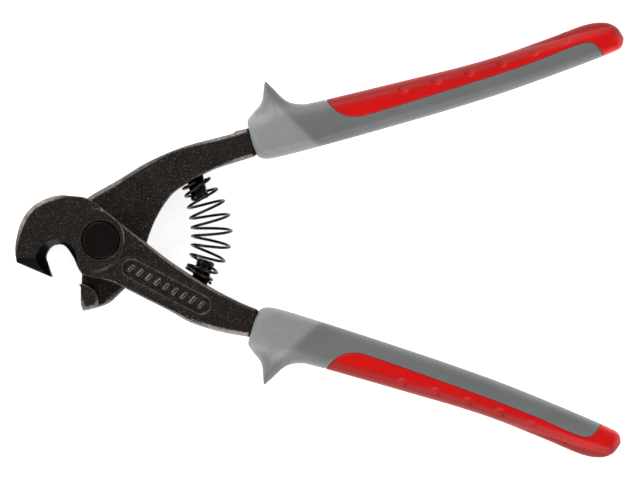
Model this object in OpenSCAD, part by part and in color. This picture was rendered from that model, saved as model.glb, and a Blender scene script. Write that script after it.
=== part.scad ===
// Sprung nippers for glass and tile: two forged halves that turn on a lap-joint rivet.
// The front half has a hooked jaw and the lower handle, the rear half has the anvil jaw and
// the upper handle. A barrel spring on two studs holds the handles apart.
// The origin is on the rivet's axis, at the flat back of the head. +Z points out of the front face
// and the handles point along +X. Every shape is drawn in the rest pose, with the jaws open.

/* [Head] */
// Thickness of the head, across both lapped halves
head_t = 14; // [12:0.5:17]
// Gap between the two lap faces
lap_gap = 0.2; // [0.1:0.05:0.4]
// Angle that the rear half turns through from rest to shut
shut_angle = 32; // [27:0.5:33]
// Gap left between the hook's point and the anvil when the jaws are shut
point_gap = 0.3; // [0.2:0.05:0.8]
// Radius of the lap zone that the anvil jaw sweeps past the hook
jaw_lap_r = 16.5; // [16:0.25:17.5]
// Radius of the lap zone that the arms sweep past each other
arm_lap_r = 21.5; // [21:0.25:23]
// Length of the ramp from the lap face out to the arm's full thickness
ramp_len = 7; // [4:0.5:8]
// Slope of the ground facets on both sides of the hook's point
point_facet_angle = 21; // [10:1:25]

/* [Arms] */
// Step down from each face of the head to the arms
arm_step = 1; // [0.5:0.25:2.5]
// Thickness of the tangs inside the grips
tang_t = 8; // [5:0.5:9]
// Width of a tang where it enters its grip
tang_root_w = 9.6; // [7:0.2:10]
// Width of a tang near its end
tang_tip_w = 5; // [4:0.5:6]
// Length of the recessed panel on the front arm
panel_len = 33; // [24:1:34]
// Width of the recessed panel
panel_w = 6; // [4.5:0.25:6.5]
// Depth of the recessed panel
panel_depth = 0.8; // [0.4:0.1:1.5]
// Number of raised bars in the panel
bar_count = 9; // [5:1:12]

/* [Rivet] */
// Diameter of the rivet's shank
rivet_d = 9; // [7:0.5:10]
// Diameter of the rivet's flush heads
rivet_head_d = 12.6; // [11:0.2:14]
// Depth of each rivet head
rivet_head_h = 2.5; // [1.5:0.25:3]
// Radial clearance of the rivet in the rear half, which turns on it
rivet_clearance = 0.05; // [0.02:0.01:0.09]
// Radial width of the groove round the front rivet head
rivet_groove = 0.25; // [0.1:0.05:0.4]

/* [Spring and studs] */
// Diameter of a spring stud, pressed into its arm
stud_d = 5.8; // [4.8:0.2:7]
// How much wider the stud's lip is, at its free end
stud_lip = 0.3; // [0:0.05:0.5]
// Depth of each stud in its arm
stud_depth = 5; // [3.5:0.5:6]
// Distance between the studs' seats when the jaws are shut
seat_span = 14.8; // [13.5:0.1:16]
// Gap left between the studs' ends when the jaws are shut
stud_gap = 0.6; // [0.4:0.1:1.5]
// Diameter of the spring wire
wire_d = 1; // [0.7:0.05:1.1]
// Outside diameter of the spring's widest turn
spring_od = 14.6; // [12:0.2:15]
// Radial play between a stud and the close turns round it
spring_play = 1.45; // [0.6:0.05:1.6]
// Number of turns
turns = 9.75; // [7.75:0.5:11.75]
// Number of close turns on the lower stud
close_turns = 1.5; // [0.5:0.25:2]

/* [Grips] */
// Length of each grip
grip_len = 132; // [110:0.5:150]
// Length of solid grip beyond the tang's end
tail_solid = 28; // [22:1:40]
// Thickness of each grip at its thickest
grip_t = 17; // [14:0.5:20]
// How far the finger guard stands out past the grip's outer side
guard_h = 10.5; // [6:0.5:14]
// Number of notches in the cushion
notch_count = 6; // [4:1:8]
// Distance from one notch to the next
notch_pitch = 11.6; // [8:0.2:14]
// Width of a notch
notch_w = 2.7; // [1.5:0.1:4]
// Depth of a notch
notch_depth = 0.9; // [0.4:0.1:1.2]
// Gap between the grip's core and its cushion
seam_gap = 0.1; // [0.05:0.05:0.3]

/* [Hidden] */
$fn = 96;
eps = 0.01;
big = 200;
mid_z = head_t / 2;
front_lap_z = mid_z + lap_gap / 2;
rear_lap_z = mid_z - lap_gap / 2;

// The rear half's outline below is drawn for this opening, and turned when shut_angle differs.
drawn_open = 32;
// Point of the hook, and the same point seen from the rear half once the jaws are shut.
hook_point = [-16.5, -12.9];
met_point = turned(hook_point, drawn_open);
anvil_x = met_point[0] + point_gap;

// Where the grips' own axes start, and how they lie: x runs along the grip, y away from the other.
front_grip = [51.7, -29.9];
front_grip_angle = -16.6;
rear_grip = [51.2, 34.9];
rear_grip_angle = 14.2;

// The studs' seats on the arms. The two studs stand on one line when the jaws are shut.
front_seat = [33.7, -13.6];
front_stud_angle = 72;
rear_seat = turned(front_seat + seat_span * facing(front_stud_angle), drawn_open);
rear_stud_angle = front_stud_angle - 180 + drawn_open;
stud_len = (seat_span - stud_gap) / 2;

// The front pad's round end, about which the arm steps down.
pad_centre = [-2.5, 0];
pad_r = 10.8;
// The anvil's full-thickness block is a lobe round this centre.
anvil_centre = [-7.5, -21.5];
anvil_r = 6.8;

// The hook's hollow-ground gullet is a cone on each side.
gullet_centre = [-15, -7];
gullet_r = 7.2;
gullet_throat_r = 3.7;
gullet_depth = 5;
facet_y = -6.3;
facet_right = -14;

panel_centre = [22.4, -15.9];
panel_angle = -27.5;
bar_w = 1.1;
bar_len = 2.9;
bar_h = 0.45;

function turned(p, a) = [p[0] * cos(a) - p[1] * sin(a), p[0] * sin(a) + p[1] * cos(a)];
function facing(a) = [cos(a), sin(a)];

// A smooth run through the points of a list, by Catmull-Rom pieces.
function between(a, b, c, d, t) =
    0.5 * (2 * b + (c - a) * t + (2 * a - 5 * b + 4 * c - d) * t * t
    + (3 * b - a - 3 * c + d) * t * t * t);
function smooth(p, steps = 4) = [
    for (i = [0 : len(p) - 2], k = [0 : steps - 1])
        between(p[max(i - 1, 0)], p[i], p[i + 1], p[min(i + 2, len(p) - 1)], k / steps),
    p[len(p) - 1]
];

// Places on the grips' front ends, in the part's frame. An arm meets its grip between two of them.
function on_front_grip(x, y) = front_grip + turned([x, -y], front_grip_angle);
function on_rear_grip(x, y) = rear_grip + turned([x, y], rear_grip_angle);
arm_inner = -6.4;
arm_outer = 3.4;

// Outline of the front half: round the hook, down the upper edge of the arm, back along its
// lower edge, and round the gullet to the hook's point.
hook_back = smooth([[-28.7, -7.7], [-29.2, -4], [-28.8, 0.5], [-27.4, 5.7], [-24.8, 10],
    [-20.8, 13.2], [-15, 15.2], [-10, 15.1], [-4, 14], [3, 9], [8, 4.9], [16, -1.3], [25, -8.2],
    [37, -15.9], [47, -21.1], on_front_grip(0, arm_inner)]);
front_under = smooth([on_front_grip(0, arm_outer), [41.3, -31.5], [31, -28.4], [22.8, -23.9],
    [11.4, -18.1], [3.5, -14.2], [-6, -12.1]]);
gullet = smooth([[-6, -12.1], [-7.5, -10], [-9.5, -5.8], [-12, -2.3], [-14.3, -1.6], [-17, -2.5],
    [-18.7, -5.5], [-18, -8.3], hook_point]);
front_outline = concat(hook_back, front_under, gullet);

// Outline of the rear half: down the anvil's edge, round its heel, up the arm's inner edge,
// back along its outer edge, and round the boss behind the hook.
anvil_heel = smooth([[-6, -24.3], [-2.2, -23.4], [2.3, -21.8], [5.6, -18.9], [11, -13.4],
    [14.6, -7], [15.6, -0.5], [18.7, 7.5], [22.8, 14], [26.9, 17.8], [37.2, 23.6], [46, 26.6],
    on_rear_grip(0, arm_inner)]);
rear_back = smooth([on_rear_grip(0, arm_outer), [43.3, 35.9], [29, 32.1], [16.7, 27],
    [4.3, 19.8], [-4.5, 14.7], [-9.2, 9.5], [-10.8, 4], [-10.2, -1.5], [-7.6, -8], [-6.6, -12]]);
rear_outline = concat([[anvil_x, -14], [anvil_x, -22]], anvil_heel, rear_back);

// Outline of a grip in its own frame, and the stations of its thickness and of its seam.
tail = grip_len;
// A place in the straight middle of the grip, by its share of the way along it.
function midway(share) = 42 + share * (tail - 84);
grip_outer = smooth([[0, 6.2], [3, 8.3], [6.4, 10.9], [8.2, guard_h + 4.4], [9.4, guard_h + 7],
    [11, guard_h + 4.9], [14.6, 9.7], [19, 7.2], [26, 6.5], [midway(0.375), 6.1], [midway(0.7), 6],
    [tail - 42, 6.5], [tail - 24, 8.2], [tail - 12, 9.5], [tail - 5, 8.6], [tail - 1.4, 5.8],
    [tail, 1.8]]);
grip_inner = smooth([[tail, 1.8], [tail - 1.6, -1], [tail - 6, -2.1], [tail - 20, -3.8],
    [tail - 42, -6], [midway(0.625), -7.1], [midway(0.25), -7.8], [28, -8.5], [9, -8.7],
    [2.6, -8], [0, -5.8]]);
grip_outline = concat(grip_outer, grip_inner);
grip_side = smooth([[0, 6.9], [3, 8.1], [12, 8.5], [26, 7.9], [midway(0.1), 8.5], [midway(0.7), 8.5],
    [tail - 26, 7.9], [tail - 6, 6.8], [tail - 2, 6], [tail, 4.6]]);
grip_side_scale = grip_t / 17;
seam = smooth([[27.6, 9], [28.4, 5.6], [31.4, 0.8], [36, -1.7], [42, -2.1],
    [midway(0.375), -1.3], [midway(0.75), -0.3], [tail - 42, 0.5], [tail - 30, 1.6],
    [tail - 17.5, 3.2], [tail - 12, 3.1], [tail - 9.5, 0.6], [tail - 8, -4]]);
notch_start = tail - 19.6 - (notch_count - 1) * notch_pitch;
notch_reach = 4.2;
tang_len = grip_len - tail_solid;
tang_back = 5;
tang_centre = -1.3;
tang_rise = 2;

module slab(low, high) { translate([0, 0, low]) linear_extrude(high - low) children(); }

// A frame in which +Z points along a stud, from its seat.
module at_seat(seat, angle) {
    translate([seat[0], seat[1], mid_z]) rotate([0, 0, angle]) rotate([0, 90, 0]) children();
}
// The lower grip's own frame, and the upper grip's, which is its mirror image.
module at_front_grip() {
    translate([front_grip[0], front_grip[1], mid_z]) rotate([0, 0, front_grip_angle])
        mirror([0, 1, 0]) children();
}
module at_rear_grip() {
    rear_turn() translate([rear_grip[0], rear_grip[1], mid_z]) rotate([0, 0, rear_grip_angle])
        children();
}
module rear_turn() { rotate([0, 0, shut_angle - drawn_open]) children(); }

// The steel inside a grip: a flat bar that narrows toward its round end.
module tang() {
    root = tang_root_w / 2;
    tip = tang_tip_w / 2;
    end_y = tang_centre + tang_rise;
    translate([0, 0, -tang_t / 2]) linear_extrude(tang_t) union() {
        polygon([[-tang_back, tang_centre - root], [tang_len - tip, end_y - tip],
            [tang_len - tip, end_y + tip], [-tang_back, tang_centre + root]]);
        translate([tang_len - tip, end_y]) circle(tip);
    }
}

// What a half's outline keeps beyond the lap zone: all that lies outside a cone on the handle side.
module beyond_lap(narrow_z, wide_z) {
    rise = abs(wide_z - narrow_z);
    difference() {
        translate([-4, -big / 2, -eps]) cube([big, big, head_t + 2 * eps]);
        if (wide_z > narrow_z)
            translate([0, 0, narrow_z]) cylinder(h = rise, r1 = arm_lap_r, r2 = arm_lap_r + ramp_len);
        else
            translate([0, 0, wide_z]) cylinder(h = rise, r1 = arm_lap_r + ramp_len, r2 = arm_lap_r);
    }
}

module stud_hole(seat, angle) {
    at_seat(seat, angle) translate([0, 0, -stud_depth]) cylinder(h = stud_depth + stud_len, d = stud_d);
}

// Hollow-ground bevel on one side of the gullet, with its wide end at the face.
module gullet_cone() {
    translate([gullet_centre[0], gullet_centre[1], -gullet_depth])
        cylinder(h = gullet_depth + eps, r1 = gullet_throat_r, r2 = gullet_r);
}
// Wedge above the ground facet of the hook's point.
module point_wedge() {
    translate([facet_right, facet_y, 0]) rotate([point_facet_angle, 0, 0])
        translate([-30, -20, 0]) cube([30, 20, 20]);
}

module panel_recess() {
    straight = panel_len - panel_w;
    translate([panel_centre[0], panel_centre[1], head_t - arm_step - panel_depth])
        rotate([0, 0, panel_angle]) difference() {
            linear_extrude(panel_depth + 1) union() {
                square([straight, panel_w], center = true);
                for (side = [-1, 1]) translate([side * straight / 2, 0]) circle(d = panel_w);
            }
            for (i = [0 : bar_count - 1])
                translate([(i - (bar_count - 1) / 2) * straight / (bar_count - 1), 0, 0])
                    rotate([0, 0, -18]) translate([-bar_w / 2, -bar_len / 2, -eps])
                    cube([bar_w, bar_len, bar_h]);
        }
}

module front_half() {
    color([0.16, 0.15, 0.14]) difference() {
        union() {
            // The lap half of the head, and the pad that stands up round the rivet.
            slab(front_lap_z, head_t - arm_step) polygon(front_outline);
            intersection() {
                slab(mid_z + 1, head_t) polygon(front_outline);
                union() {
                    translate([pad_centre[0], pad_centre[1], 0]) cylinder(h = head_t, r = pad_r);
                    translate([pad_centre[0] - 50, -50, 0]) cube([50, 100, head_t]);
                }
            }
            // The hook, at full thickness outside the lap zone.
            intersection() {
                slab(0, head_t) polygon(front_outline);
                difference() {
                    translate([-54, -50, 0]) cube([50, 100, head_t]);
                    translate([0, 0, -1]) cylinder(h = head_t + 2, r = jaw_lap_r);
                }
            }
            // The arm, whose back ramps down from the lap face.
            intersection() {
                slab(arm_step, head_t - arm_step) polygon(front_outline);
                beyond_lap(front_lap_z, arm_step);
            }
            at_front_grip() tang();
        }
        translate([0, 0, -1]) cylinder(h = head_t + 2, d = rivet_d);
        translate([0, 0, head_t - rivet_head_h])
            cylinder(h = rivet_head_h + 1, d = rivet_head_d + 2 * rivet_groove);
        stud_hole(front_seat, front_stud_angle);
        translate([0, 0, head_t]) gullet_cone();
        mirror([0, 0, 1]) gullet_cone();
        translate([0, 0, head_t]) point_wedge();
        mirror([0, 0, 1]) point_wedge();
        panel_recess();
    }
}

module rear_half() {
    color([0.15, 0.14, 0.13]) rear_turn() difference() {
        union() {
            // The lap half of the head, with the pad round the rivet on its back.
            slab(arm_step, rear_lap_z) polygon(rear_outline);
            intersection() {
                slab(0, mid_z - 1) polygon(rear_outline);
                union() {
                    cylinder(h = head_t, r = pad_r + 1);
                    translate([-50, -50, 0]) cube([60, 50, head_t]);
                }
            }
            // The anvil's block, at full thickness below the hook.
            intersection() {
                slab(0, head_t) polygon(rear_outline);
                translate([anvil_centre[0], anvil_centre[1], 0]) cylinder(h = head_t, r = anvil_r);
            }
            // The arm, whose front ramps up from the lap face.
            intersection() {
                slab(arm_step, head_t - arm_step) polygon(rear_outline);
                beyond_lap(rear_lap_z, head_t - arm_step);
            }
            translate([rear_grip[0], rear_grip[1], mid_z]) rotate([0, 0, rear_grip_angle]) tang();
        }
        translate([0, 0, -1]) cylinder(h = head_t + 2, d = rivet_d + 2 * rivet_clearance);
        translate([0, 0, -1])
            cylinder(h = rivet_head_h + 1 + rivet_clearance, d = rivet_head_d + 2 * rivet_clearance);
        stud_hole(rear_seat, rear_stud_angle);
    }
}

module pivot_rivet() {
    color([0.1, 0.1, 0.1]) union() {
        cylinder(h = head_t, d = rivet_d);
        cylinder(h = rivet_head_h, d = rivet_head_d);
        translate([0, 0, head_t - rivet_head_h]) cylinder(h = rivet_head_h, d = rivet_head_d);
    }
}

// A turned stud: a plain shank, half of it in the arm, and a lip with a chamfered end.
module spring_stud() {
    r = stud_d / 2;
    chamfer = 0.6;
    lip_len = 2;
    rotate_extrude() polygon([[0, -stud_depth], [r, -stud_depth], [r, stud_len - lip_len],
        [r + stud_lip, stud_len - chamfer], [r + stud_lip - chamfer, stud_len], [0, stud_len]]);
}
module upper_spring_stud() {
    color([0.2, 0.18, 0.17]) rear_turn() at_seat(rear_seat, rear_stud_angle) spring_stud();
}
module lower_spring_stud() {
    color([0.2, 0.18, 0.17]) at_seat(front_seat, front_stud_angle) spring_stud();
}

// The spring's axis is one curve. Its ends lean away from the studs, and lie a little nearer
// the jaws than the studs do.
close_r = stud_d / 2 + spring_play + wire_d / 2;
spring_lift = wire_d / 2 + 0.06 * close_r;
end_lean = 12;
upper_shift = 0.3;
lower_shift = 1.2;
pull = 14.4;
upper_turn = shut_angle - drawn_open;
upper_way = facing(rear_stud_angle + end_lean + upper_turn);
lower_way = facing(front_stud_angle - end_lean);
axis_a = turned(rear_seat, upper_turn) + spring_lift * upper_way + upper_shift * turned(upper_way, -90);
axis_b = axis_a + pull * upper_way;
axis_d = front_seat + spring_lift * lower_way + lower_shift * turned(lower_way, 90);
axis_c = axis_d + pull * lower_way;
function axis_at(t) = pow(1 - t, 3) * axis_a + 3 * t * pow(1 - t, 2) * axis_b
    + 3 * t * t * (1 - t) * axis_c + pow(t, 3) * axis_d;
function axis_way(t) =
    let (d = pow(1 - t, 2) * (axis_b - axis_a) + 2 * t * (1 - t) * (axis_c - axis_b)
        + t * t * (axis_d - axis_c))
    d / norm(d);

// A Bezier curve's length is close to the mean of its chord and its control lines.
axis_len = (norm(axis_d - axis_a) + 2 * pull + norm(axis_c - axis_b)) / 2;
// The curve runs faster at its ends than in its middle, and this evens it.
evening = 0.029;

// Turns are close on the studs and even between them, and widest in the middle.
close_pitch = 1.15 * wire_d;
top_turns = 0.75;
// The wire's upper end is this part of a turn before the side next to the jaws.
early_turn = 0.25;
free_turns = turns - close_turns - top_turns;
free_pitch = (axis_len - (close_turns + top_turns) * close_pitch) / free_turns;
function travel(u) =
    u < top_turns ? u * close_pitch
    : u > turns - close_turns ? axis_len - (turns - u) * close_pitch
    : top_turns * close_pitch + (u - top_turns) * free_pitch;
function place(u) = let (v = travel(u) / axis_len) v - evening * sin(360 * v);
wide_r = (spring_od - wire_d) / 2;
function turn_r(u) =
    let (v = (u - top_turns) / free_turns)
    v < 0 || v > 1 ? close_r : close_r + (wide_r - close_r) * sin(180 * v);
rings_per_turn = 16;
wire_sides = 6;
function wire_ring(u) =
    let (t = place(u), way = axis_way(t), side = [way[1], -way[0], 0], along = [way[0], way[1], 0],
        angle = 360 * (u - early_turn), out = side * cos(angle) - [0, 0, 1] * sin(angle),
        centre = [axis_at(t)[0], axis_at(t)[1], mid_z] + out * turn_r(u))
    [for (k = [0 : wire_sides - 1])
        centre + wire_d / 2 * (out * cos(360 * k / wire_sides) - along * sin(360 * k / wire_sides))];
module return_spring() {
    rings = turns * rings_per_turn;
    points = [for (i = [0 : rings]) each wire_ring(i / rings_per_turn)];
    sides = [
        for (i = [0 : rings - 1], k = [0 : wire_sides - 1])
            let (a = i * wire_sides + k, b = i * wire_sides + (k + 1) % wire_sides)
            [a, b, b + wire_sides, a + wire_sides]
    ];
    first = [for (k = [wire_sides - 1 : -1 : 0]) k];
    last = [for (k = [0 : wire_sides - 1]) rings * wire_sides + k];
    color([0.25, 0.23, 0.22]) polyhedron(points, concat(sides, [first, last]));
}

// A grip's whole body: its outline from the front, cut to its outline from the side.
module grip_body() {
    intersection() {
        translate([0, 0, -grip_t]) linear_extrude(2 * grip_t) polygon(grip_outline);
        rotate([90, 0, 0]) translate([0, 0, -50]) linear_extrude(100)
            polygon(concat([for (p = grip_side) [p[0], p[1] * grip_side_scale]],
                [for (i = [len(grip_side) - 1 : -1 : 0])
                    [grip_side[i][0], -grip_side[i][1] * grip_side_scale]]));
    }
}
// All that lies on the cushion's side of the seam.
module cushion_side(gap) {
    far_x = tail + 20;
    edge = [for (p = seam) [p[0] + gap, p[1] + gap]];
    translate([0, 0, -grip_t]) linear_extrude(2 * grip_t)
        polygon(concat(edge, [[far_x, -20], [far_x, 40], [edge[0][0], 40]]));
}
module notch(x) {
    low = lookup(x, grip_outer) - notch_reach;
    for (side = [-1, 1])
        translate([x, low, side > 0 ? notch_face_z(x) : -notch_face_z(x) - grip_t]) union() {
            cylinder(h = grip_t, d = notch_w);
            translate([-notch_w / 2, 0, 0]) cube([notch_w, 20, grip_t]);
        }
    translate([x - notch_w / 2, low + notch_reach - notch_depth, -grip_t])
        cube([notch_w, 20, 2 * grip_t]);
}
function notch_face_z(x) = lookup(x, grip_side) * grip_side_scale - notch_depth;
module grip_core() {
    difference() {
        grip_body();
        tang();
        cushion_side(0);
    }
}
module grip_cushion() {
    difference() {
        intersection() {
            grip_body();
            cushion_side(seam_gap);
        }
        tang();
        for (i = [0 : notch_count - 1]) notch(notch_start + i * notch_pitch);
    }
}
module upper_grip_core() { color([0.43, 0.46, 0.45]) at_rear_grip() grip_core(); }
module upper_grip_cushion() { color([0.88, 0.06, 0.06]) at_rear_grip() grip_cushion(); }
module lower_grip_core() { color([0.43, 0.46, 0.45]) at_front_grip() grip_core(); }
module lower_grip_cushion() { color([0.88, 0.06, 0.06]) at_front_grip() grip_cushion(); }

front_half();
rear_half();
pivot_rivet();
upper_spring_stud();
lower_spring_stud();
return_spring();
upper_grip_core();
upper_grip_cushion();
lower_grip_core();
lower_grip_cushion();
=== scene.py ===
# %% [markdown]
# # Sprung nippers with two-colour grips
# The tool is two drop-forged halves on one rivet, a barrel spring on two studs, and two moulded
# grips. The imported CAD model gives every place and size. This notebook makes the surfaces that
# the eye meets: worn forged steel, dark wire and soft plastic.

import math

import bmesh
import bpy
from mathutils import Matrix, Vector, noise
from mathutils.bvhtree import BVHTree
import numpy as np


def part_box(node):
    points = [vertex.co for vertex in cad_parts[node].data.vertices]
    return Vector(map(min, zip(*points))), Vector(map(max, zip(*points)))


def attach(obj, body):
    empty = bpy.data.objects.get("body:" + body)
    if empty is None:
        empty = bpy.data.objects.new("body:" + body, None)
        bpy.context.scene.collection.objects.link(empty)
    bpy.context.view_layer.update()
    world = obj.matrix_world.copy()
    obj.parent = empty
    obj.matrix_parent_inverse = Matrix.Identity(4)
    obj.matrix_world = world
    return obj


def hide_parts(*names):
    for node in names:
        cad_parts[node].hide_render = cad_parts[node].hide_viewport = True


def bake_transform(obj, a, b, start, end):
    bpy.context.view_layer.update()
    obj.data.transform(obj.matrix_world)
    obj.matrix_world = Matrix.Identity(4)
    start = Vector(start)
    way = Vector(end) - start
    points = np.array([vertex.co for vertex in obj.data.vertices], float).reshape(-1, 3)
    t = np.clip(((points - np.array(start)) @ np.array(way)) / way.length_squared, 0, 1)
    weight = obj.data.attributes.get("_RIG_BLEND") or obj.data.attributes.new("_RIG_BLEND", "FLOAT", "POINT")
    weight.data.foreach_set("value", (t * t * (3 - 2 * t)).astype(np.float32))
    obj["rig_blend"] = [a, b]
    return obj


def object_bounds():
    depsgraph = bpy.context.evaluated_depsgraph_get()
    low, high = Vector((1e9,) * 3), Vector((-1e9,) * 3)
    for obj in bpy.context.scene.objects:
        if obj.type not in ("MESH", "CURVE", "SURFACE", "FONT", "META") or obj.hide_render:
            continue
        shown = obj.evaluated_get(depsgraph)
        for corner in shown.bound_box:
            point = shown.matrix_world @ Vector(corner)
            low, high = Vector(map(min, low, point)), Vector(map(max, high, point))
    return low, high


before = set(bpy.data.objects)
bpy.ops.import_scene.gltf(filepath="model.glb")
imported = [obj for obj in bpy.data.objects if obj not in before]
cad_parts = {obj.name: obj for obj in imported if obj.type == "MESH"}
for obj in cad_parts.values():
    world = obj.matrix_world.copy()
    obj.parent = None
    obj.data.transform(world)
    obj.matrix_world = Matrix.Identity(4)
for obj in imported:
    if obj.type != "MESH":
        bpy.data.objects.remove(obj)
cad_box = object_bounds()
mm = 0.001
print("nodes:", sorted(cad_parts))

# %% [markdown]
# ## Camera
# The tool lies on its back and the camera looks straight down on it. A long lens keeps the two
# handles parallel, as a catalogue picture does.

# %% Camera
frame_width = 218.9 * mm
lens = 300
sensor = 36
mid_z = sum(corner.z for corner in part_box("pivot_rivet")) / 2
camera_data = bpy.data.cameras.new("camera")
camera_data.lens = lens
camera_data.sensor_width = sensor
camera = bpy.data.objects.new("camera", camera_data)
camera.location = (74.8 * mm, 0, mid_z + frame_width * lens / sensor)
bpy.context.scene.collection.objects.link(camera)
bpy.context.scene.camera = camera
print("camera height:", round(camera.location.z, 3))

# %% [markdown]
# ## Colours and nodes
# Colours are picked as the hex codes a paint program shows. Blender works with linear light, so one
# function turns a code into linear numbers. A second small function adds a shader node, with its
# settings and its links, and that is all the node building this notebook needs.


# %% Colours and nodes
def colour(code):
    parts = [int(code[i:i + 2], 16) / 255 for i in (0, 2, 4)]
    return [*(p / 12.92 if p <= 0.04045 else ((p + 0.055) / 1.055) ** 2.4 for p in parts), 1]


def add(material, kind, inputs=None, **settings):
    made = material.node_tree.nodes.new("ShaderNode" + kind)
    for name, value in settings.items():
        setattr(made, name, value)
    for key, value in (inputs or {}).items():
        if isinstance(value, bpy.types.NodeSocket):
            material.node_tree.links.new(value, made.inputs[key])
        else:
            made.inputs[key].default_value = value
    return made


def start_material(name):
    material = bpy.data.materials.new(name)
    material.use_nodes = True
    material.node_tree.nodes.clear()
    return material


def finish_material(material, shader):
    add(material, "OutputMaterial", {"Surface": shader.outputs[0]})
    print("material:", material.name)
    return material


# %% [markdown]
# ## Floor and light
# The floor is a sheet of white acrylic lit from below, as a light table is, so it stays white and
# keeps only a faint shadow. Dark steel shows what it mirrors, so the light comes from large soft
# panels on all four sides: flat faces stay dark, and every worn edge and round wire catches a panel.

# %% Floor
bm = bmesh.new()
bmesh.ops.create_grid(bm, x_segments=1, y_segments=1, size=1.5)
floor_mesh = bpy.data.meshes.new("floor")
bm.to_mesh(floor_mesh)
bm.free()
floor = bpy.data.objects.new("floor", floor_mesh)
floor.location = (0.07, 0, cad_box[0].z - 0.2 * mm)
bpy.context.scene.collection.objects.link(floor)
acrylic = start_material("lit_white_acrylic")
floor.data.materials.append(finish_material(acrylic, add(acrylic, "BsdfPrincipled", {
    "Base Color": colour("F2F2F2"), "Roughness": 0.9, "Specular IOR Level": 0.1,
    "Emission Color": colour("FFFFFF"), "Emission Strength": 0.75})))

# %% Light
world = bpy.data.worlds.new("studio")
world.use_nodes = True
sky = world.node_tree.nodes["Background"]
sky.inputs["Color"].default_value = colour("FFFFFF")
sky.inputs["Strength"].default_value = 0.36
bpy.context.scene.world = world
bpy.context.scene.view_settings.view_transform = "Standard"


def panel(name, direction, distance, size, watts):
    data = bpy.data.lights.new(name, "AREA")
    data.shape = "RECTANGLE"
    data.size, data.size_y = size
    data.energy = watts
    light = bpy.data.objects.new(name, data)
    towards = Vector(direction).normalized()
    light.location = Vector((0.06, 0, 0)) + towards * distance
    light.rotation_euler = towards.to_track_quat("Z", "Y").to_euler()
    bpy.context.scene.collection.objects.link(light)


panel("key_upper_left", (-0.5, 0.9, 0.5), 0.9, (0.8, 0.3), 5.6)
panel("side_lower", (0.1, -1, 0.42), 0.9, (0.8, 0.3), 5.2)
panel("side_left", (-1, -0.2, 0.6), 0.9, (0.5, 0.3), 1.7)
panel("side_right", (1, 0.4, 0.7), 0.9, (0.6, 0.3), 1.7)

# %% [markdown]
# ## Forged steel
# The halves are drop-forged tool steel with a black oxide finish over a shot-blasted skin. The
# blasting leaves small pits, and the black field is strewn with tiny glints that are painted: a
# light grey base colour on the grain's crests, in patches. Handling has rubbed the edges back to grey
# metal, and this grey is also a painted highlight on rims that face the light. The cutting edges are
# ground smooth. Each vertex carries its share of wear and painted highlight and how ground it is, and
# the material mixes three finishes by those two numbers.


# %% Forged steel material
glint_patch_mm = 0.8
grain_mm = 0.45
forged = start_material("black_oxide_forged_steel")
place = add(forged, "TexCoord").outputs["Object"]
wear_and_painted_highlight = add(forged, "Attribute", attribute_name="wear_and_painted_highlight").outputs["Fac"]
ground = add(forged, "Attribute", attribute_name="ground").outputs["Fac"]
glint_patch_noise = add(forged, "TexNoise", {"Vector": place, "Scale": 1 / (glint_patch_mm * mm), "Detail": 2.0,
                                "Roughness": 0.6}).outputs["Fac"]
grain = add(forged, "TexNoise", {"Vector": place, "Scale": 1 / (grain_mm * mm), "Detail": 1.0}).outputs["Fac"]
# Painted glints: where the grain's crests meet the patch noise, the base colour is mixed to light grey
# 726B65.
crest = add(forged, "MapRange", {"Value": grain, "From Min": 0.52, "From Max": 0.72}).outputs["Result"]
glint_patch = add(forged, "MapRange", {"Value": glint_patch_noise, "From Min": 0.42, "From Max": 0.7}).outputs["Result"]
painted_glint = add(forged, "Math", {0: crest, 1: glint_patch}, operation="MULTIPLY").outputs[0]
blotch = add(forged, "TexNoise", {"Vector": place, "Scale": 1 / (9 * mm), "Detail": 2.0}).outputs["Fac"]
skin = add(forged, "Mix", {0: blotch, 6: colour("151312"), 7: colour("2A2520")},
           data_type="RGBA").outputs[2]
skin = add(forged, "Mix", {0: painted_glint, 6: skin, 7: colour("726B65")}, data_type="RGBA").outputs[2]
# Painted highlight and wear: on rims the base colour turns to grey bare metal, partly real wear and partly a
# painted highlight.
rub = add(forged, "TexNoise", {"Vector": place, "Scale": 1 / (1.8 * mm), "Detail": 3.0}).outputs["Fac"]
rub = add(forged, "MapRange", {"Value": rub, "From Min": 0.25, "From Max": 0.55,
                               "To Min": 0.45}).outputs["Result"]
rubbed_and_highlight = add(forged, "Math", {0: rub, 1: wear_and_painted_highlight}, operation="MULTIPLY", use_clamp=True).outputs[0]
bare = add(forged, "Mix", {0: grain, 6: colour("6E6661"), 7: colour("A39A94")},
           data_type="RGBA").outputs[2]
skin = add(forged, "Mix", {0: rubbed_and_highlight, 6: skin, 7: bare}, data_type="RGBA").outputs[2]
skin = add(forged, "Mix", {0: ground, 6: skin, 7: colour("101115")}, data_type="RGBA").outputs[2]
gloss = add(forged, "MapRange", {"Value": ground, "To Min": 0.46, "To Max": 0.22}).outputs["Result"]
depth = add(forged, "MapRange", {"Value": ground, "To Min": 0.9, "To Max": 0.05}).outputs["Result"]
relief = add(forged, "Bump", {"Height": grain, "Strength": depth, "Distance": 0.25 * mm}).outputs[0]
finish_material(forged, add(forged, "BsdfPrincipled", {
    "Base Color": skin, "Metallic": 0.75, "Roughness": gloss, "Normal": relief}))

# %% [markdown]
# ## Plain steel
# The rivet is the same black steel, hammered and then faced smooth. The studs are turned on a lathe,
# and the spring is drawn wire, so both are smoother than the forgings and show sharper highlights.


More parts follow.
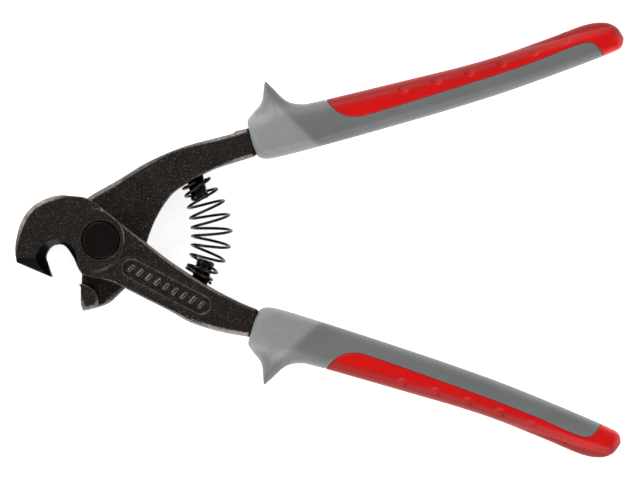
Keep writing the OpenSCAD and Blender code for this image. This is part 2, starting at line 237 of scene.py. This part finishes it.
# %% Plain steel materials
def steel(name, dark, light, roughness, streak_mm, relief_mm):
    material = start_material(name)
    spot = add(material, "TexCoord").outputs["Object"]
    mottle = add(material, "TexNoise", {"Vector": spot, "Scale": 1 / (streak_mm * mm),
                                        "Detail": 3.0}).outputs["Fac"]
    tint = add(material, "Mix", {0: mottle, 6: colour(dark), 7: colour(light)},
               data_type="RGBA").outputs[2]
    bump = add(material, "Bump", {"Height": mottle, "Strength": 0.4,
                                  "Distance": relief_mm * mm}).outputs[0]
    return finish_material(material, add(material, "BsdfPrincipled", {
        "Base Color": tint, "Metallic": 1.0, "Roughness": roughness, "Normal": bump}))


rivet_steel = steel("faced_black_rivet_steel", "1A1716", "2A2523", 0.45, 1.2, 0.08)
stud_steel = steel("turned_stud_steel", "1E1B19", "3A3633", 0.27, 0.8, 0.03)
wire_steel = steel("drawn_spring_wire", "1C1A18", "3A3633", 0.24, 0.9, 0.02)

# %% [markdown]
# ## Grip plastics
# A grip is moulded in two shots: a hard grey body, and a soft red cushion over its outer side. The
# mould for the collar is etched, so it comes out paler and grainy, and the rest is satin. The guard fin
# keeps only part of the collar's paleness, which paints it darker as painted shade. The outer strip of
# the cushion is painted a darker red, a painted shade where the cushion rounds away from the light.

# %% Grip plastic materials
etch_mm = 0.45
body_plastic = start_material("moulded_grey_polypropylene")
place = add(body_plastic, "TexCoord").outputs["Object"]
etched_and_guard_shade = add(body_plastic, "Attribute", attribute_name="etched_and_guard_shade").outputs["Fac"]
etch = add(body_plastic, "TexNoise", {"Vector": place, "Scale": 1 / (etch_mm * mm),
                                      "Detail": 2.0}).outputs["Fac"]
cloud = add(body_plastic, "TexNoise", {"Vector": place, "Scale": 1 / (14 * mm),
                                       "Detail": 2.0}).outputs["Fac"]
satin = add(body_plastic, "Mix", {0: cloud, 6: colour("636665"), 7: colour("717473")},
            data_type="RGBA").outputs[2]
pale = add(body_plastic, "Mix", {0: etch, 6: colour("767978"), 7: colour("999C9B")},
           data_type="RGBA").outputs[2]
grey = add(body_plastic, "Mix", {0: etched_and_guard_shade, 6: satin, 7: pale}, data_type="RGBA").outputs[2]
relief = add(body_plastic, "Bump", {"Height": etch, "Strength": 0.35, "Distance": 0.05 * mm}).outputs[0]
finish_material(body_plastic, add(body_plastic, "BsdfPrincipled", {
    "Base Color": grey, "Roughness": 0.48, "IOR": 1.49, "Specular IOR Level": 0.35,
    "Normal": relief}))

cushion_plastic = start_material("moulded_red_soft_elastomer")
place = add(cushion_plastic, "TexCoord").outputs["Object"]
cloud = add(cushion_plastic, "TexNoise", {"Vector": place, "Scale": 1 / (10 * mm),
                                          "Detail": 2.0}).outputs["Fac"]
peel = add(cushion_plastic, "TexNoise", {"Vector": place, "Scale": 1 / (0.6 * mm),
                                         "Detail": 2.0}).outputs["Fac"]
red = add(cushion_plastic, "Mix", {0: cloud, 6: colour("C40304"), 7: colour("D80605")},
          data_type="RGBA").outputs[2]
# Painted shade: the outer strip of the cushion is mixed to a darker red, 8A0D0B.
painted_edge_shade = add(cushion_plastic, "Attribute", attribute_name="painted_edge_shade").outputs["Fac"]
red = add(cushion_plastic, "Mix", {0: painted_edge_shade, 6: red, 7: colour("8A0D0B")}, data_type="RGBA").outputs[2]
relief = add(cushion_plastic, "Bump", {"Height": peel, "Strength": 0.3,
                                       "Distance": 0.04 * mm}).outputs[0]
finish_material(cushion_plastic, add(cushion_plastic, "BsdfPrincipled", {
    "Base Color": red, "Roughness": 0.46, "IOR": 1.5, "Specular IOR Level": 0.18,
    "Normal": relief}))


# %% [markdown]
# ## Making a piece
# Every piece ends the same way: it gets its material, smooth shading and, when one is given, a body
# to move with, and the CAD node it stands for is hidden.


# %% Making a piece
def make_piece(name, mesh, material, body=None):
    mesh.materials.clear()
    mesh.materials.append(material)
    mesh.polygons.foreach_set("use_smooth", [True] * len(mesh.polygons))
    piece = bpy.data.objects.new(name, mesh)
    bpy.context.scene.collection.objects.link(piece)
    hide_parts(name.removesuffix("_look"))
    if body:
        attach(piece, body)
    print(name, len(mesh.polygons), "faces")
    return piece


def as_mesh(bm, name):
    mesh = bpy.data.meshes.new(name)
    bm.to_mesh(mesh)
    bm.free()
    return mesh


def eased(value, start, end):
    """0 before the start, 1 past the end, and a smooth rise between them."""
    t = min(max((value - start) / (end - start), 0), 1)
    return t * t * (3 - 2 * t)


# %% [markdown]
# ## The forged halves
# A forging has no knife-sharp rim: the die rounds it and use wears it. The CAD node is exact and
# sharp, so its copy is merged, its flat faces are dissolved into whole faces, and each rim edge gets
# a bevel weight, which says how far it is worn. A Bevel modifier cuts the rims, and a voxel Remesh
# makes an even skin that is fine enough to carry the blasted texture as real shape.


# %% Rims of the forged halves
upper_grip = (Matrix.Translation((51.2 * mm, 34.9 * mm, mid_z))
              @ Matrix.Rotation(math.radians(14.2), 4, "Z"))
lower_grip = (Matrix.Translation((51.7 * mm, -29.9 * mm, mid_z))
              @ Matrix.Rotation(math.radians(-16.6), 4, "Z") @ Matrix.Diagonal((1, -1, 1, 1)))
full_bevel = 1.5 * mm
skin_mm = 0.35
panel_len = 33
panel_width = 6
panel_place = Matrix.Translation((22.4 * mm, -15.9 * mm, 0)) @ Matrix.Rotation(math.radians(-27.5), 4, "Z")
panel_half = (panel_len - panel_width) / 2 * mm
panel_r = panel_width / 2 * mm


def off_panel(point):
    """How far outside the recessed panel's edge a point is, looking from the front."""
    local = panel_place.inverted() @ Vector((point.x, point.y, 0))
    nearest = Vector((min(max(local.x, -panel_half), panel_half), 0, 0))
    return (Vector((local.x, local.y, 0)) - nearest).length - panel_r


def in_grip(point, grip):
    """Whether a point is on the tang, which the grip hides, or just outside its mouth."""
    return (grip.inverted() @ point).x > -0.8 * mm


def front_rim(point, on_top):
    """Width of the rim of the front half as a share of the widest, and its share of wear and painted
    highlight.
    """
    if in_grip(point, lower_grip):
        return 0, 0
    if Vector((point.x, point.y)).length < 7 * mm:
        return 0.12, 0.2
    if off_panel(point) < 0.3 * mm:
        return (0.2, 0.6) if on_top else (0, 0)
    # The hook's upper-left crown is painted light grey: partly wear, partly a painted highlight where the
    # upper-left light falls.
    if point.x < -9 * mm and (Vector((point.x, point.y)) - Vector((-15, -7)) * mm).length > 9 * mm:
        crown = eased(point.y, -3 * mm, 6 * mm) * (1 - eased(point.x, -17 * mm, -12 * mm))
        return 0.3 + 0.7 * crown, 0.25 + 0.75 * crown
    if point.x < 0:
        return 0.25, 0.12
    if point.y < -0.42 * point.x - 8.5 * mm:
        along = eased(point.x, 12 * mm, 28 * mm)
        return 0.3 + 0.7 * along * on_top, 0.3 + 0.7 * along
    # The front arm's upper edge gets a high share: a painted highlight line, partly wear.
    upper_edge = point.y > -0.62 * point.x + 4 * mm
    if upper_edge:
        return 0.3 + 0.2 * eased(point.x, 12 * mm, 16 * mm), 0.9 - 0.7 * eased(point.x, 36 * mm, 44 * mm)
    return 0.3, 0.15


def rear_rim(point, on_top):
    """Width of the rim of the rear half as a share of the widest, and its share of wear and painted
    highlight.
    """
    if in_grip(point, upper_grip):
        return 0, 0
    if Vector((point.x, point.y)).length < 7 * mm:
        return 0.12, 0.0
    if point.y < -20.8 * mm:
        return 0.95, 0.75
    if point.x < -6 * mm and point.y < -10 * mm:
        return 0.1, 0.3
    if point.y < -8 * mm:
        return 0.3, 0.3
    near_grip = eased(point.x, 30 * mm, 40 * mm)
    # The rear half's upper edge and lap get a rising share: partly wear and partly a painted highlight.
    if point.y > 0.62 * point.x + 6 * mm:
        lap = 1 - eased(point.x, 12 * mm, 18 * mm)
        return (0.45 + 0.55 * lap + 0.35 * near_grip) if on_top else 0.4, 0.3 + 0.25 * lap + 0.4 * near_grip
    return 0.25 + 0.5 * near_grip, 0.1 + 0.6 * near_grip


def bevelled(node_name, rim, least_rise):
    """A merged copy of a CAD node, with a Bevel modifier that cuts its rims."""
    bm = bmesh.new()
    bm.from_mesh(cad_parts[node_name].data)
    bmesh.ops.remove_doubles(bm, verts=bm.verts, dist=0.002 * mm)
    bmesh.ops.dissolve_limit(bm, angle_limit=math.radians(1), verts=bm.verts, edges=bm.edges)
    weight = bm.edges.layers.float.new("bevel_weight_edge")
    rims = 0
    for edge in bm.edges:
        rises = sorted(abs(face.normal.z) for face in edge.link_faces)
        middle = (edge.verts[0].co + edge.verts[1].co) / 2
        if edge.is_convex and rises[0] < 0.3 and rises[-1] > least_rise:
            edge[weight] = min(1, rim(middle, middle.z > mid_z - 1 * mm)[0])
            rims += 1
    mesh = as_mesh(bm, node_name + "_rims")
    shape = bpy.data.objects.new(node_name + "_shape", mesh)
    bpy.context.scene.collection.objects.link(shape)
    cut = shape.modifiers.new("rims", "BEVEL")
    cut.limit_method = "WEIGHT"
    cut.width = full_bevel
    cut.segments = 2
    cut.material = 1
    cut.use_clamp_overlap = False
    for _ in ("whole faces", "faces the bevel cuts"):
        mesh.materials.append(forged)
    print(node_name, rims, "rim edges")
    return shape


# %% [markdown]
# The remeshed skin knows nothing of the rims, so each of its points asks the bevelled shape which
# face is nearest. A rim face gives it the rim's share of wear and painted highlight there, and a
# slanted face near the gullet or the hook's point makes it ground. Then the skin is moved a little
# inwards by noise, except where it is ground.


# %% Skin of the forged halves
blast_depth = 0.09 * mm
panel_rim_height = 0.3 * mm
gullet_middle = Vector((-15, -7)) * mm
gullet_reach = 7.6 * mm


def is_ground(point, normal):
    """Whether a point is in the hollow-ground gullet or on the facet at the hook's point."""
    near_gullet = (Vector((point.x, point.y)) - gullet_middle).length < gullet_reach
    hollow = near_gullet and 0.3 < abs(normal.z) < 0.8
    facet = point.x < -13.9 * mm and point.y < -6.3 * mm and 0.88 < abs(normal.z) < 0.97
    return hollow or facet


def blasted(point):
    """How deep the blasting has cut the skin at a point."""
    coarse = noise.noise(point / (1.1 * mm))
    fine = noise.noise(point / (0.6 * mm))
    return blast_depth * (0.5 + 0.3 * coarse + 0.2 * fine)


def forge(node_name, rim, body, least_rise, has_panel):
    """The visible forging: an even skin on the bevelled shape, with its wear, texture and panel rim."""
    shape = bevelled(node_name, rim, least_rise)
    graph = bpy.context.evaluated_depsgraph_get()
    cut_mesh = bpy.data.meshes.new_from_object(shape.evaluated_get(graph))
    cut_faces = [polygon.material_index for polygon in cut_mesh.polygons]
    tree = BVHTree.FromPolygons([v.co for v in cut_mesh.vertices],
                                [polygon.vertices for polygon in cut_mesh.polygons])
    voxels = shape.modifiers.new("skin", "REMESH")
    voxels.mode = "VOXEL"
    voxels.voxel_size = skin_mm * mm
    graph = bpy.context.evaluated_depsgraph_get()
    bm = bmesh.new()
    bm.from_mesh(bpy.data.meshes.new_from_object(shape.evaluated_get(graph)))
    bpy.data.objects.remove(shape)
    wear_and_highlight_layer = bm.verts.layers.float.new("wear_and_painted_highlight")
    ground_layer = bm.verts.layers.float.new("ground")
    for vert in bm.verts:
        _, normal, face, _ = tree.find_nearest(vert.co)
        vert[wear_and_highlight_layer] = rim(vert.co, vert.co.z > mid_z)[1] if cut_faces[face] == 1 else 0
        vert[ground_layer] = float(is_ground(vert.co, normal))
    rough = [v for v in bm.verts if v[ground_layer] == 0]
    for _ in range(2):
        bmesh.ops.smooth_vert(bm, verts=rough, factor=0.5, use_axis_x=True, use_axis_y=True,
                              use_axis_z=True)
    bm.normal_update()
    moves = []
    for vert in bm.verts:
        move = -blasted(vert.co) * (1 - 0.5 * vert[wear_and_highlight_layer]) * (1 - vert[ground_layer])
        if has_panel and vert.normal.z > 0.9 and vert.co.z > mid_z:
            move += panel_rim_height * math.exp(-((off_panel(vert.co) / mm - 0.6) / 0.4) ** 2)
        moves.append(vert.normal * move)
    for vert, move in zip(bm.verts, moves):
        vert.co += move
    return make_piece(node_name + "_look", as_mesh(bm, node_name + "_look"), forged, body)


forge("front_half", front_rim, "front_arm", least_rise=0.98, has_panel=True)
forge("rear_half", rear_rim, "rear_arm", least_rise=0.7, has_panel=False)

# %% [markdown]
# ## Rivet and studs
# These are turned parts, so each is a profile spun once round its axis. The rivet's heads are
# hammered flat with the faces and have a small round rim. A stud has a plain shank, a lip that holds
# the spring, and a chamfered end.


# %% Turned parts
def turned_mesh(name, profile, place):
    bm = bmesh.new()
    verts = [bm.verts.new((x * mm, 0, z * mm)) for x, z in profile]
    edges = [bm.edges.new(pair) for pair in zip(verts, verts[1:])]
    bmesh.ops.spin(bm, geom=verts + edges, cent=(0, 0, 0), axis=(0, 0, 1), angle=math.tau,
                   steps=96, use_merge=True)
    bmesh.ops.remove_doubles(bm, verts=bm.verts, dist=0.001 * mm)
    bmesh.ops.recalc_face_normals(bm, faces=bm.faces)
    bmesh.ops.transform(bm, matrix=place, verts=bm.verts)
    return as_mesh(bm, name)


head_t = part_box("pivot_rivet")[1].z / mm
head_r = 6.3
head_h = 2.5
shank_r = 4.5
rivet_profile = [(0, head_t - 0.12), (4.6, head_t - 0.1), (5.4, head_t), (head_r - 0.55, head_t),
                 (head_r - 0.4, head_t - 0.04), (head_r, head_t - 0.25), (head_r, head_t - head_h),
                 (shank_r, head_t - head_h), (shank_r, head_h), (head_r, head_h), (head_r, 0.25),
                 (head_r - 0.4, 0.04), (head_r - 0.55, 0), (0, 0)]
make_piece("pivot_rivet_look", turned_mesh("pivot_rivet_look", rivet_profile, Matrix()),
           rivet_steel, "front_arm")

stud_r = 2.9
stud_depth = 5
stud_len = 7.1
stud_profile = [(0, -stud_depth), (stud_r, -stud_depth), (stud_r, stud_len - 2.1),
                (stud_r + 0.12, stud_len - 1.9), (stud_r + 0.3, stud_len - 0.75),
                (stud_r + 0.22, stud_len - 0.5), (stud_r - 0.3, stud_len - 0.05),
                (stud_r - 0.5, stud_len), (1.2, stud_len), (0.9, stud_len - 0.25),
                (0, stud_len - 0.4)]


def seat(x, y, angle):
    """Where a stud sits: its place on the arm's edge and the way it leans."""
    return (Matrix.Translation((x * mm, y * mm, mid_z)) @ Matrix.Rotation(math.radians(angle), 4, "Z")
            @ Matrix.Rotation(math.pi / 2, 4, "Y"))


def facing(angle):
    """The direction at an angle from the tool's length, seen from the front."""
    return Vector((math.cos(math.radians(angle)), math.sin(math.radians(angle)), 0))


rest_open = 32
lower_angle = 72
upper_angle = lower_angle - 180 + rest_open
lower_seat = Vector((33.7, -13.6, 0))
upper_seat = Matrix.Rotation(math.radians(rest_open), 3, "Z") @ (lower_seat + 14.8 * facing(lower_angle))
make_piece("lower_spring_stud_look",
           turned_mesh("lower_spring_stud_look", stud_profile, seat(*lower_seat.xy, lower_angle)),
           stud_steel, "front_arm")
make_piece("upper_spring_stud_look",
           turned_mesh("upper_spring_stud_look", stud_profile, seat(*upper_seat.xy, upper_angle)),
           stud_steel, "rear_arm")


# %% [markdown]
# ## A surface from a rule
# The spring and the grips are both surfaces that follow a rule. A grid gives the rows and columns,
# and a function says where each of its points goes. The two long sides of the grid meet and are
# merged, and the open ends are filled.


# %% A surface from a rule
def ruled_tube(rows, columns, place, row_layer="row"):
    bm = bmesh.new()
    bmesh.ops.create_grid(bm, x_segments=rows, y_segments=columns, size=0.5)
    layer = bm.verts.layers.float.new(row_layer)
    for vert in bm.verts:
        row, column = (vert.co.x + 0.5) * rows, (vert.co.y + 0.5) * columns
        vert.co = place(row, column)
        vert[layer] = row
    bmesh.ops.remove_doubles(bm, verts=bm.verts, dist=0.004 * mm)
    bmesh.ops.holes_fill(bm, edges=[e for e in bm.edges if e.is_boundary], sides=0)
    bmesh.ops.recalc_face_normals(bm, faces=bm.faces)
    return bm


# %% [markdown]
# ## The spring
# A barrel spring is close-wound on the studs and widest in its middle. Its axis bows outwards,
# because its ends lean with the arms. The wire's middle line is worked out turn by turn, and the
# wire's round section is carried along it.

# %% The spring's line
wire_r = 0.5
turns = 9.75
top_close = 0.75
early_turn = 0.25
low_close = 1.5
close_r = stud_r + 1.45 + wire_r
wide_r = 14.6 / 2 - wire_r
close_pitch = 1.15 * 2 * wire_r
lift = wire_r + 0.06 * close_r
upper_way = facing(upper_angle + 12)
lower_way = facing(lower_angle - 12)
quarter = Matrix.Rotation(math.pi / 2, 3, "Z")
pull = 14.4
axis_a = upper_seat + lift * upper_way - 0.3 * (quarter @ upper_way)
axis_b = axis_a + pull * upper_way
axis_d = lower_seat + lift * lower_way + 1.2 * (quarter @ lower_way)
axis_c = axis_d + pull * lower_way
axis_len = ((axis_d - axis_a).length + 2 * pull + (axis_c - axis_b).length) / 2
free_turns = turns - top_close - low_close
free_pitch = (axis_len - (top_close + low_close) * close_pitch) / free_turns


def travel(u):
    """Distance along the spring's axis after u turns, from the upper end."""
    if u < top_close:
        return u * close_pitch
    if u > turns - low_close:
        return axis_len - (turns - u) * close_pitch
    return top_close * close_pitch + (u - top_close) * free_pitch


def axis_point(u):
    v = travel(u) / axis_len
    t = v - 0.029 * math.sin(math.tau * v)
    s = 1 - t
    point = s ** 3 * axis_a + 3 * t * s * s * axis_b + 3 * t * t * s * axis_c + t ** 3 * axis_d
    way = s * s * (axis_b - axis_a) + 2 * t * s * (axis_c - axis_b) + t * t * (axis_d - axis_c)
    return point, way.normalized()


def wire_point(u, around):
    """A point on the wire after u turns, at an angle round the wire's own section."""
    point, way = axis_point(u)
    share = min(max((u - top_close) / free_turns, 0), 1)
    radius = close_r + (wide_r - close_r) * math.sin(math.pi * share)
    angle = math.tau * (u - early_turn)
    out = -(quarter @ way) * math.cos(angle) - Vector((0, 0, 1)) * math.sin(angle)
    middle = point + out * (radius + wire_r * math.cos(around))
    return (middle + way * wire_r * math.sin(around)) * mm + Vector((0, 0, mid_z))


rings_a_turn = 40
wire_sides = 12
bm = ruled_tube(int(turns * rings_a_turn), wire_sides,
                lambda row, column: wire_point(row / rings_a_turn, math.tau * column / wire_sides),
                row_layer="ring")
spring = make_piece("return_spring_look", as_mesh(bm, "return_spring_look"), wire_steel)
print("spring axis", round(axis_len, 1), "mm, free pitch", round(free_pitch, 2), "mm")

# %% [markdown]
# The spring bends between the two arms. A plain blend would weigh each point by where it is, and
# squash the wire as the coil closes. So each ring of the wire takes one weight, by how far along the
# spring it is, and the close turns at each end stay with their own stud.

# %% The spring bends with the arms
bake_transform(spring, "front_arm", "rear_arm", start=axis_d * mm, end=axis_a * mm)
top_end = travel(top_close)
low_end = travel(turns - low_close)
rings = spring.data.attributes["ring"].data
weights = spring.data.attributes["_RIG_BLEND"].data
for ring, weight in zip(rings, weights):
    along = (travel(ring.value / rings_a_turn) - top_end) / (low_end - top_end)
    weight.value = 1 - min(max(along, 0), 1)
print("weights from", min(w.value for w in weights), "to", max(w.value for w in weights))

# %% [markdown]
# ## The grips
# One rule makes all four grip pieces. At each station along the grip, the outline gives its outer and
# inner edge and the side view gives its thickness, and a rounded section joins them. A seam line
# divides the section: the grey body is below it and the red cushion above it. The finger guard is a
# fin that stands up from the collar, thinner towards its tip.


# %% The grip's outline
grip_len = 132
tail = grip_len
guard_h = 10.5


def smooth_run(points, steps=10):
    """Points on a smooth line through the given ones."""
    line = []
    for i in range(len(points) - 1):
        a, b = points[max(i - 1, 0)], points[i]
        c, d = points[i + 1], points[min(i + 2, len(points) - 1)]
        for k in range(steps):
            t = k / steps
            line.append([0.5 * (2 * q + (r - p) * t + (2 * p - 5 * q + 4 * r - s) * t * t
                                + (3 * q - p - 3 * r + s) * t ** 3) for p, q, r, s in zip(a, b, c, d)])
    return line + [points[-1]]


outer_line = smooth_run([
    (0, 6.2), (3, 8.3), (6.4, 10.9), (8.2, guard_h + 4.4), (9.4, guard_h + 7), (11, guard_h + 4.9),
    (14.6, 9.7), (19, 7.2), (26, 6.5), (60, 6.1), (75.6, 6), (tail - 42, 6.5), (tail - 24, 8.2),
    (tail - 12, 9.5), (tail - 5, 8.6), (tail - 1.4, 5.8), (tail, 1.8)])
inner_line = smooth_run([
    (0, -5.8), (2.6, -8), (9, -8.7), (28, -8.5), (54, -7.8), (72, -7.1), (tail - 42, -6),
    (tail - 20, -3.8), (tail - 6, -2.1), (tail - 1.6, -1), (tail, 1.8)])
side_line = smooth_run([
    (0, 6.9), (3, 8.1), (12, 8.5), (26, 7.9), (46.8, 8.5), (75.6, 8.5), (tail - 26, 7.9),
    (tail - 6, 6.8), (tail - 2, 6), (tail, 4.6)])
seam_line = smooth_run([
    (27.6, 9), (28.4, 5.6), (31.4, 0.8), (36, -1.7), (42, -2.1), (60, -1.3), (78, -0.3),
    (tail - 42, 0.5), (tail - 30, 1.6), (tail - 17.5, 3.2), (tail - 12, 3.1), (tail - 9.5, 0.6),
    (tail - 8, -4)])


def height_at(line, x):
    """The line's height at x, between its nearest points."""
    for (x0, y0), (x1, y1) in zip(line, line[1:]):
        if x <= x1:
            return y0 + (y1 - y0) * max(x - x0, 0) / max(x1 - x0, 1e-6)
    return line[-1][1]


# %% The grip's section
squareness = 2.9
front_round = 1.2
tail_round = 4
fin_root = 5
fin_root_half = 4.4
fin_tip_half = 1.0
step_depth = 0.7
seam_roll = 0.3
cushion_stands = 0.12
# Share of the collar's paleness taken back on the guard fin, which paints it darker: painted shade.
guard_painted_shade = 0.5


def collar_end(y):
    """Where the etched collar ends: a slanted line from the guard to the inner edge."""
    return 15.9 - 0.61 * y


def half_thickness(x, y, outer, inner):
    """Half the grip's thickness at a place in its outline, with the guard's thin fin."""
    body_outer = min(outer, 6.4 + 0.2 * (outer - 6.4))
    middle = (body_outer + inner) / 2
    half = max((body_outer - inner) / 2, 0.01)
    across = min(abs(y - middle) / half, 1)
    side = height_at(side_line, x)
    side -= step_depth * eased(x, collar_end(y) - 0.5, collar_end(y) + 4) * (1 - eased(x, 30, 60))
    side -= front_round * (1 - math.sqrt(1 - max(1 - x / front_round, 0) ** 2)) if x < front_round else 0
    side *= math.sqrt(max(1 - max((x - tail + tail_round) / tail_round, 0) ** 2, 0))
    body = side * (1 - across ** squareness) ** (1 / squareness)
    if outer < body_outer + 0.01 or y < fin_root:
        return body
    up = (y - fin_root) / (outer - fin_root)
    fin = fin_root_half + (fin_tip_half - fin_root_half) * min((y - fin_root) / (guard_h + 2), 1)
    fin *= (1 - min(up, 1) ** 4) ** 0.5 * eased(y, fin_root, fin_root + 1.5)
    return (body ** 4 + fin ** 4) ** 0.25


# %% [markdown]
# The cushion has six shallow notches on each side, which give the fingers hold. They are cut by
# lowering the surface inside a round-ended slot that runs in from the outer edge.

# %% Notches
notch_count = 6
notch_pitch = 11.6
notch_half = 1.35
notch_reach = 4.2
notch_depth = 0.6
notches = [tail - 19.6 - k * notch_pitch for k in range(notch_count)]


def notch_drop(x, y, outer):
    """How far the nearest notch lowers the cushion's surface."""
    inward = outer - notch_reach + notch_half - y
    offsets = [math.hypot(x - centre, max(inward, 0)) for centre in notches]
    return notch_depth * (1 - eased(min(offsets), notch_half - 0.25, notch_half + 0.15))


def along_section(k, count, edge, seam):
    """Heights from the rounded edge to the seam, closer together at the edge."""
    return edge + (seam - edge) * (1 - math.cos(math.pi / 2 * k / count))


def grip_point(x, column, count, red):
    """A point on a grip piece: columns run from one face round the edge to the other face."""
    outer, inner = height_at(outer_line, x), height_at(inner_line, x)
    if x < front_round:
        drop = front_round * (1 - math.sqrt(1 - (1 - x / front_round) ** 2))
        outer, inner = outer - drop, inner + drop
    seam = outer if x < seam_line[0][0] else inner if x > tail - 8 else height_at(seam_line, x)
    seam = min(max(seam, inner), outer)
    edge = outer if red else inner
    k = column - count
    y = along_section(abs(k), count, edge, seam)
    z = half_thickness(x, y, outer, inner)
    from_seam = abs(y - seam)
    both = inner + 0.2 < seam < outer - 0.2
    if both:
        z -= seam_roll * (1 - eased(from_seam, 0, 0.45))
    if red:
        z -= notch_drop(x, y, outer)
    elif both:
        z -= cushion_stands
    return x, y, z if k > 0 else -z


# %% [markdown]
# The upper grip's frame is turned with its arm, and the lower grip is its mirror image. The stations
# are closer together at the guard and at the tail, where the outline turns fastest.

# %% Build the grips
def stations(start, step):
    """Places along the grip: fine at the guard, even in the middle, and fine at the round tail."""
    found, x = [], start
    while x < tail - 9:
        found.append(x)
        x += 0.16 if x < front_round else 0.36 if x < 20 else step
    span = tail - found[-1]
    return found + [found[-1] + span * math.sin(math.pi / 2 * k / 22) for k in range(1, 23)]


def grip_mesh(name, place, red):
    count = 30 if red else 26
    places = stations(seam_line[0][0] if red else 0, 0.45 if red else 0.8)
    wall = 3
    columns = 2 * count + wall

    def at(row, column):
        row, column = round(row), round(column) % columns
        if column <= 2 * count:
            point = grip_point(places[row], column, count, red)
        else:
            x, y, z = grip_point(places[row], 2 * count, count, red)
            point = (x, y, z * (1 - 2 * (column - 2 * count) / wall))
        return place @ (Vector(point) * mm)

    bm = ruled_tube(len(places) - 1, columns, at)
    # On the cushion this layer is painted shade, darker red along the outer edge. On the body it is the
    # etched collar's paleness, taken partly back on the guard as painted shade.
    layer = bm.verts.layers.float.new("painted_edge_shade" if red else "etched_and_guard_shade")
    back = place.inverted()
    for vert in bm.verts:
        local = back @ vert.co / mm
        inward = height_at(outer_line, local.x) - local.y
        past_collar = local.x - collar_end(local.y)
        # Painted shade: on the guard fin the etched share is taken back, so the fin is painted darker.
        guard_shade = guard_painted_shade * eased(local.y, fin_root, fin_root + 4)
        vert[layer] = 1 - (eased(inward, 0.8, 5.5) if red else
                           max(eased(past_collar, -0.8, 2.2), guard_shade))
    return as_mesh(bm, name)


for side, place, body in (("upper", upper_grip, "rear_arm"), ("lower", lower_grip, "front_arm")):
    for part, red, material, slot in (("core", False, body_plastic, "grip_core"),
                                      ("cushion", True, cushion_plastic, "grip_cushion")):
        name = side + "_grip_" + part + "_look"
        make_piece(name, grip_mesh(name, place, red), material, body)
